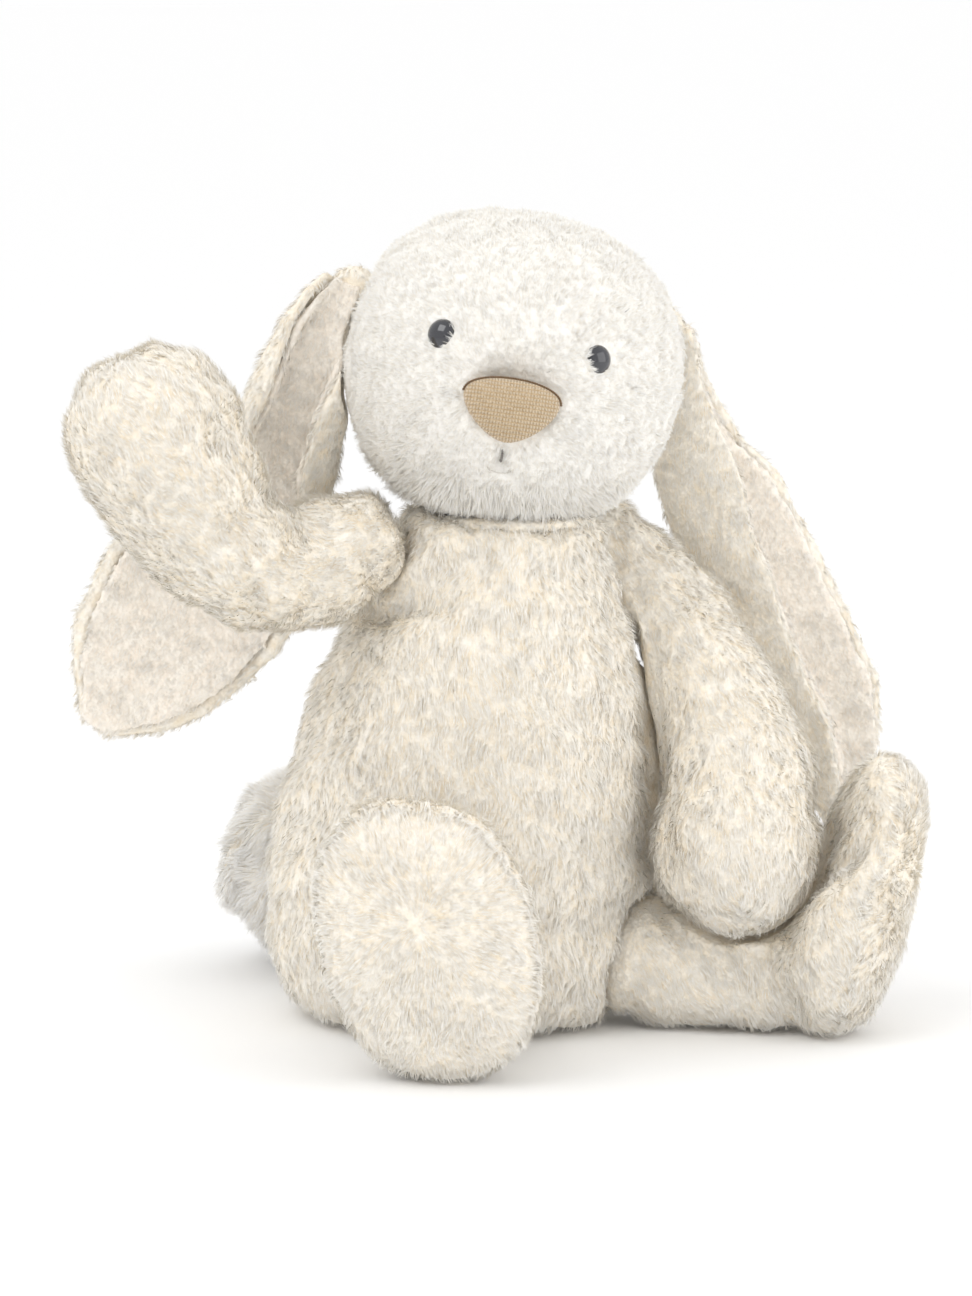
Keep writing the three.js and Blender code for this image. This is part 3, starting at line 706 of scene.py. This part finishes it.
def patterned(name, colour, other, roughness, scale, height=0.0003, **inputs):
    """Two colours mottled by noise, with a fine relief."""
    m = material(name, colour, roughness, **inputs)
    tree = m.node_tree
    shader = tree.nodes["Principled BSDF"]
    where = node(tree, "ShaderNodeTexCoord")
    noise = node(tree, "ShaderNodeTexNoise", Scale=scale, Detail=4.0)
    ramp = node(tree, "ShaderNodeValToRGB")
    ramp.color_ramp.elements[0].position = 0.35
    ramp.color_ramp.elements[0].color = (*other, 1)
    ramp.color_ramp.elements[1].position = 0.62
    ramp.color_ramp.elements[1].color = (*colour, 1)
    bump = node(tree, "ShaderNodeBump", Strength=0.5, Distance=height)
    tree.links.new(where.outputs["Object"], noise.inputs["Vector"])
    tree.links.new(noise.outputs["Fac"], ramp.inputs["Fac"])
    tree.links.new(ramp.outputs["Color"], shader.inputs["Base Color"])
    tree.links.new(noise.outputs["Fac"], bump.inputs["Height"])
    tree.links.new(bump.outputs["Normal"], shader.inputs["Normal"])
    return m


GREY_THREAD = patterned("grey_thread", (0.30, 0.28, 0.26), (0.16, 0.15, 0.14), 0.7, 2500)
PALE_THREAD = patterned("pale_thread", (0.80, 0.77, 0.72), (0.62, 0.59, 0.54), 0.7, 2500)
BROWN_THREAD = patterned("brown_thread", (0.24, 0.15, 0.08), (0.12, 0.075, 0.04), 0.75, 2500)
EYE_PLASTIC = patterned("eye_plastic", (0.010, 0.011, 0.018), (0.006, 0.007, 0.013), 0.06, 300, 0.000002,
                        Coat_Weight=1.0, Coat_Roughness=0.02, Specular_IOR_Level=0.6)


def woven():
    """Ribbed stretch weave in a dull gold, with a few glints of metallic yarn."""
    m = material("nose_weave", (0.73, 0.57, 0.37), 0.62, Sheen_Weight=0.3, Sheen_Roughness=0.4)
    tree = m.node_tree
    shader = tree.nodes["Principled BSDF"]
    where = node(tree, "ShaderNodeTexCoord")
    turned = node(tree, "ShaderNodeMapping")
    turned.inputs["Rotation"].default_value = (0, -HEAD_ROLL, -HEAD_TURN)
    weave = {"wave_type": "BANDS", "Distortion": 0.7, "Detail": 1.0}
    ribs = node(tree, "ShaderNodeTexWave", bands_direction="Z", Scale=185.0, **weave)
    picks = node(tree, "ShaderNodeTexWave", bands_direction="X", Scale=230.0, **weave)
    crossed = node(tree, "ShaderNodeMath", operation="MULTIPLY")
    mottle = node(tree, "ShaderNodeTexNoise", Scale=900.0, Detail=3.0)
    mixed = node(tree, "ShaderNodeMath", operation="MULTIPLY_ADD")
    mixed.inputs[1].default_value = 0.5
    ramp = node(tree, "ShaderNodeValToRGB")
    ramp.color_ramp.elements[0].position = 0.22
    ramp.color_ramp.elements[0].color = (0.44, 0.30, 0.16, 1)
    ramp.color_ramp.elements[1].position = 0.62
    ramp.color_ramp.elements[1].color = (0.80, 0.65, 0.46, 1)
    glint = node(tree, "ShaderNodeTexVoronoi", Scale=1500.0)
    spark = node(tree, "ShaderNodeValToRGB")
    spark.color_ramp.elements[0].position = 0.0
    spark.color_ramp.elements[0].color = (0.9, 0.9, 0.9, 1)
    spark.color_ramp.elements[1].position = 0.16
    spark.color_ramp.elements[1].color = (0, 0, 0, 1)
    bump = node(tree, "ShaderNodeBump", Strength=1.0, Distance=0.0009)
    link = tree.links.new
    link(where.outputs["Object"], turned.inputs["Vector"])
    for texture in (ribs, picks, mottle, glint):
        link(turned.outputs["Vector"], texture.inputs["Vector"])
    link(ribs.outputs["Fac"], crossed.inputs[0])
    link(picks.outputs["Fac"], crossed.inputs[1])
    link(mottle.outputs["Fac"], mixed.inputs[0])
    link(crossed.outputs["Value"], mixed.inputs[2])
    link(mixed.outputs["Value"], ramp.inputs["Fac"])
    link(ramp.outputs["Color"], shader.inputs["Base Color"])
    link(glint.outputs["Distance"], spark.inputs["Fac"])
    link(spark.outputs["Color"], shader.inputs["Metallic"])
    link(mixed.outputs["Value"], bump.inputs["Height"])
    link(bump.outputs["Normal"], shader.inputs["Normal"])
    return m


NOSE_HALF_WIDTH, NOSE_TOP, NOSE_HEIGHT, NOSE_RISE = 23.5, 9.5, 30.0, 8.5  # millimetres
NOSE_EDGE, NOSE_SUNK = 1.6, 4.5  # how far its edge stands out of the head, and its back lies in it
NOSE_RINGS, NOSE_BACK = 16, 0.96  # rings of points over the front, and the back's share of its outline
SEAM_ENDS = 14  # the points of each half of the outline that the top seam follows


def nose_outline(steps=30):
    """Half of the nose's outline, from its top to its bottom: side and height, in millimetres."""
    share = np.linspace(0, 1, steps) ** 1.6
    half = NOSE_HALF_WIDTH * (1 - share**2.3) ** 0.72 * (1 - (1 - share) ** 9) ** 0.5
    droop = 1.5 * (half / NOSE_HALF_WIDTH) ** 2 * (1 - share)
    return np.stack([half, NOSE_TOP - NOSE_HEIGHT * share - droop], axis=1)


def face_point(side, height, out):
    """A row-frame point by millimetres from the nose's middle: to the side, up, and out of the face."""
    place, _ = on_face(side * MM, height * MM + NOSE_LOCAL[2])
    return place + HEAD_AXES @ Vector((0, -out * MM, 0))


half = nose_outline()
loop = np.concatenate([half, (half * np.array([-1, 1]))[::-1][1:-1]])
middle = np.array([0.0, -2.0])
verts = []
for i in range(1, NOSE_RINGS + 1):
    share = i / NOSE_RINGS
    for side, height in middle + (loop - middle) * share:
        verts.append(face_point(side, height, NOSE_EDGE + NOSE_RISE * (1 - share**3) ** 0.5))
for side, height in middle + (loop - middle) * NOSE_BACK:
    verts.append(face_point(side, height, -NOSE_SUNK))
verts.append(face_point(*middle, NOSE_EDGE + NOSE_RISE))
verts.append(face_point(*middle, -NOSE_SUNK))
around = len(loop)
faces = bands(NOSE_RINGS, around)
for k in range(around):
    faces.append((len(verts) - 2, (k + 1) % around, k))
    faces.append((len(verts) - 1, NOSE_RINGS * around + k, NOSE_RINGS * around + (k + 1) % around))
mesh = bpy.data.meshes.new("nose_cloth")
mesh.from_pydata([tuple(v) for v in verts], [], faces)
nose = new_object("nose_cloth", mesh, [woven()])
with_normals = bmesh.new()
with_normals.from_mesh(mesh)
bmesh.ops.recalc_face_normals(with_normals, faces=with_normals.faces)
with_normals.to_mesh(mesh)
with_normals.free()
applied(nose, "SUBSURF", levels=1)
nose.data.shade_smooth()
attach(nose, "head")
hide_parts("nose_cover", "nose_padding")

edge = [(-s, h) for s, h in half[1:SEAM_ENDS][::-1]] + [tuple(p) for p in half[:SEAM_ENDS]]
edge_line = [face_point(side, height, NOSE_EDGE + 0.6) for side, height in edge]
seam = swept("nose_top_seam", edge_line, 0.55 * MM, BROWN_THREAD)
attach(seam, "head")

STITCHES = {  # the ends' side and height from the head's middle in millimetres, the radius and the thread
    "mouth_stitch": (((0, -32), (0, -38)), 0.6 * MM, GREY_THREAD),
    "chin_stitch": (((-6, -42), (6, -42)), 0.4 * MM, PALE_THREAD),
}
for which, (((s0, h0), (s1, h1)), radius, thread_of) in STITCHES.items():
    path = []
    for t in np.linspace(0, 1, 9):
        place, out = on_face((s0 + (s1 - s0) * t) * MM, (h0 + (h1 - h0) * t) * MM)
        path.append(place + out * (0.9 - 3.5 * (2 * t - 1) ** 4) * MM)
    thread = swept(f"{which}_thread", path, radius, thread_of)
    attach(thread, "head")
    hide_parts(which)

for s, side in EYES.items():
    _, out = on_face(side * MM, EYE_UP * MM)
    place, _ = on_face(side * MM, EYE_UP * MM, 4.4 * MM)
    curve = np.linspace(0, math.pi / 2, 15)[:-1]
    profile = [(6.4, -1.2), (6.9, -0.8), (7.05, -0.3)]
    profile += [(EYE_RADIUS * math.cos(a), EYE_DOME * math.sin(a)) for a in curve]
    verts, around = [], 48
    across = out.orthogonal().normalized()
    upward = out.cross(across)
    for r, h in profile:
        for k in range(around):
            w = 2 * math.pi * k / around
            verts.append(place + (across * (r * math.cos(w)) + upward * (r * math.sin(w)) + out * h) * MM)
    verts += [place + out * EYE_DOME * MM, place - out * 1.2 * MM]
    faces = bands(len(profile) - 1, around)
    for k in range(around):
        a = (len(profile) - 1) * around
        faces.append((a + k, a + (k + 1) % around, len(verts) - 2))
        faces.append(((k + 1) % around, k, len(verts) - 1))
    eye = smooth_object(f"eye_{s}_dome", verts, faces, EYE_PLASTIC)
    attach(eye, "head")
    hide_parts(f"eye_{s}")

# ---- neck: the gathered seam between head and torso ----
neck_y, neck_z = NECK_CENTRE
verts, faces, around, sides = [], [], 96, 14
for i in range(around):
    w = 2 * math.pi * i / around
    pucker = 0.5 * math.sin(14 * w) + 0.3 * math.sin(23 * w + 1)
    for k in range(sides):
        a = 2 * math.pi * k / sides
        r = NECK_RADIUS + (4.6 + pucker) * math.cos(a)
        height = neck_z + (3.0 + 0.5 * pucker) * math.sin(a)
        verts.append(((r * math.cos(w)) * MM, (neck_y + r * math.sin(w)) * MM, height * MM))
for i in range(around):
    for k in range(sides):
        a, b = i * sides + k, i * sides + (k + 1) % sides
        c, d = ((i + 1) % around) * sides + (k + 1) % sides, ((i + 1) % around) * sides + k
        faces.append((a, d, c, b))
# the ring's bare top is in the body backing, whose darker tan is painted shade, so that it reads as a shaded
# crease under the chin
neck = smooth_object("neck_gather", verts, faces, BODY_BACKING)
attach(neck, "neck")
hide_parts("neck_seam")
ones = np.ones(len(verts))
grow("neck_pile", "neck", (neck, ones, ones), toward((0, 0, -1)), 6 * MM, BODY_PILE, 15, lean=55,
     keep=lambda p: np.hypot(p[:, 0], p[:, 1] - neck_y * MM) > 36 * MM)


# ---- torso ----
BACK_FROM = -9 * MM  # the coat's two pieces meet at this depth
TORSO_BARE = 6 * MM  # no pile under this height


def torso_relief(points):
    """Soft wrinkles under the head, and the dents of the seams."""
    x, y, z = (points / MM).T
    chest = np.exp(-(((z - 195) / 30) ** 2)) * (y < 0)
    out = 1.1 * chest * np.sin(z / 4.6 + 1.8 * waves(points, 60 * MM, 21)) + 0.8 * waves(points, 34 * MM, 22)
    out -= 0.7 * np.exp(-((x / 2.2) ** 2))
    collar = np.exp(-(((np.hypot(x, y + 33) - 42) / 9) ** 2)) * smoothstep(z, 218, 232)
    return (out + 5 * collar) * MM


torso = skin("torso_cover", "torso", COVERS["torso"] + ["torso_stuffing", "pellet_pouch"], BODY_BACKING,
             relief=torso_relief)
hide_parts(*COVERS["torso"], "torso_stuffing", "pellet_pouch")
grow("torso_front_pile", "torso", torso, toward((0, -0.1, -1)), 6.8 * MM, BODY_PILE, 21,
     keep=lambda p: (p[:, 1] < BACK_FROM) & (p[:, 2] > TORSO_BARE))
grow("torso_back_pile", "torso", torso, toward((0, 0.1, -1)), 6.8 * MM, BODY_PILE, 22, density=0.9,
     keep=lambda p: (p[:, 1] >= BACK_FROM) & (p[:, 2] > TORSO_BARE))


# ---- arms, legs, tail ----
def soft_relief(seed, height=0.7):
    return lambda points: height * MM * waves(points, 30 * MM, seed)


for seed, s in ((31, "right"), (41, "left")):
    arm = skin(f"arm_{s}_cover", f"arm_{s}", COVERS[f"arm_{s}"] + [f"arm_{s}_stuffing"], BODY_BACKING,
               relief=soft_relief(seed))
    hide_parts(*COVERS[f"arm_{s}"], f"arm_{s}_stuffing")
    grow(f"arm_{s}_pile", f"arm_{s}", arm, along_path(ARM_PATH[s]), 6.8 * MM, BODY_PILE, seed)


def foot_middle(s):
    return Vector((*(HIP[s] + LEG_WAY[s] * LEG_REACH[s]).xy, FOOT_HALF_LENGTH - 3 * MM))


def foot_out(s):
    return LEG_WAY[s] * math.cos(FOOT_LEAN) + Vector((0, 0, -math.sin(FOOT_LEAN)))


def leg_comb(s):
    """Over the foot away from the middle of its sole, and along the leg elsewhere."""
    out, middle = np.array(foot_out(s)), np.array(foot_middle(s))
    sole = middle + out * FOOT_HALF_THICKNESS + np.array([0, 0, 0.02])

    def comb(points, normals):
        facing = smoothstep((normals * out).sum(axis=1), 0.2, 0.7)[:, None]
        away = unit(points - sole)
        leg = np.array(LEG_WAY[s]) * 0.4 + np.array([0, 0, -0.7])
        return away * facing + leg * (1 - facing)

    return comb


for seed, s in ((51, "right"), (61, "left")):
    leg = skin(f"leg_{s}_cover", f"leg_{s}", COVERS[f"leg_{s}"] + [f"leg_{s}_stuffing"], BODY_BACKING,
               relief=soft_relief(seed))
    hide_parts(*COVERS[f"leg_{s}"], f"leg_{s}_stuffing")
    grow(f"leg_{s}_pile", f"leg_{s}", leg, leg_comb(s), 6.8 * MM, BODY_PILE, seed,
         keep=lambda p: p[:, 2] > 4 * MM)

tail = skin("tail_cover", "tail", COVERS["tail"] + ["tail_stuffing"], BODY_BACKING,
            inset=4.5 * MM, relief=soft_relief(71, 1.5))
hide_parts(*COVERS["tail"], "tail_stuffing")
grow("tail_pile", "tail", tail, toward((0, 0.6, -1)), 10.5 * MM, TAIL_PILE, 71, lean=54, density=1.5,
     gather=0.45, clump=1.8 * MM, unruly=0.55)

# ---- ears: the fur cloth and the lining, sewn together along the edge ----
SEWN_WITHIN = 1.6 * MM  # the cloths' faces towards one another, which have no pile


def ear_cloth(s, kind, made_of, length, seed, pad=None):
    """One of an ear's two cloths, with its pile."""
    body = f"ear_{s}"
    own, other = COVERS[body] if kind == "fur" else COVERS[body][::-1]
    beside = BVHTree.FromPolygons(*node_solids([other]))

    def hidden(points):
        return np.array([float(beside.find_nearest(Vector(p))[3] < SEWN_WITHIN) for p in points])

    name = f"{body}_{kind}_cloth"
    cloth = skin(name, body, [own], made_of, inset=0.7 * MM, voxel=1.7 * MM, smooth=3, floor=False,
                 cloth=False, finer=0, relief=soft_relief(seed, 0.4), bare=hidden, pad=pad)
    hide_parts(own)
    grow(f"{body}_{kind}_pile", body, cloth, along_path(EAR_PATH[s]), length,
         BODY_PILE if kind == "fur" else LINING_PILE, seed)


for seed, s in ((81, "right"), (91, "left")):
    root = Vector(EAR_PATH[s][0]) * MM
    inwards = (HEAD_CENTRE - root).normalized()
    gathered = round_pad(root + inwards * 3.5 * MM, 10.5 * MM)
    ear_cloth(s, "fur", BODY_BACKING, 5.5 * MM, seed, gathered)
    ear_cloth(s, "lining", LINING_BACKING, 4.5 * MM, seed + 1)

# ---- floor, light ----
FLOOR_SIZE = 60
bpy.ops.mesh.primitive_plane_add(size=FLOOR_SIZE)
floor = bpy.context.object
floor.name = "floor"
floor.data.materials.append(material("floor_paper", (0.995, 0.995, 0.995), 0.9))

world = bpy.data.worlds.new("studio")
scene.world = world
world.use_nodes = True
world.node_tree.nodes["Background"].inputs["Color"].default_value = (1.0, 1.0, 1.0, 1)
world.node_tree.nodes["Background"].inputs["Strength"].default_value = 1.0


LIT = Vector((0, 0, 0.18))  # where both lights point


def softbox(name, place, size, power):
    light = bpy.data.objects.new(name, bpy.data.lights.new(name, "AREA"))
    light.data.shape = "RECTANGLE"
    light.data.size, light.data.size_y = size
    light.data.energy = power
    scene.collection.objects.link(light)
    light.location = place
    light.rotation_mode = "QUATERNION"
    light.rotation_quaternion = (place - LIT).to_track_quat("Z", "Y")


softbox("key", right * -0.9 + back * 1.5 + up * 1.6, (1.2, 1.2), 10)
softbox("fill", right * 1.6 + back * 1.0 + up * 0.6, (1.4, 1.4), 6)
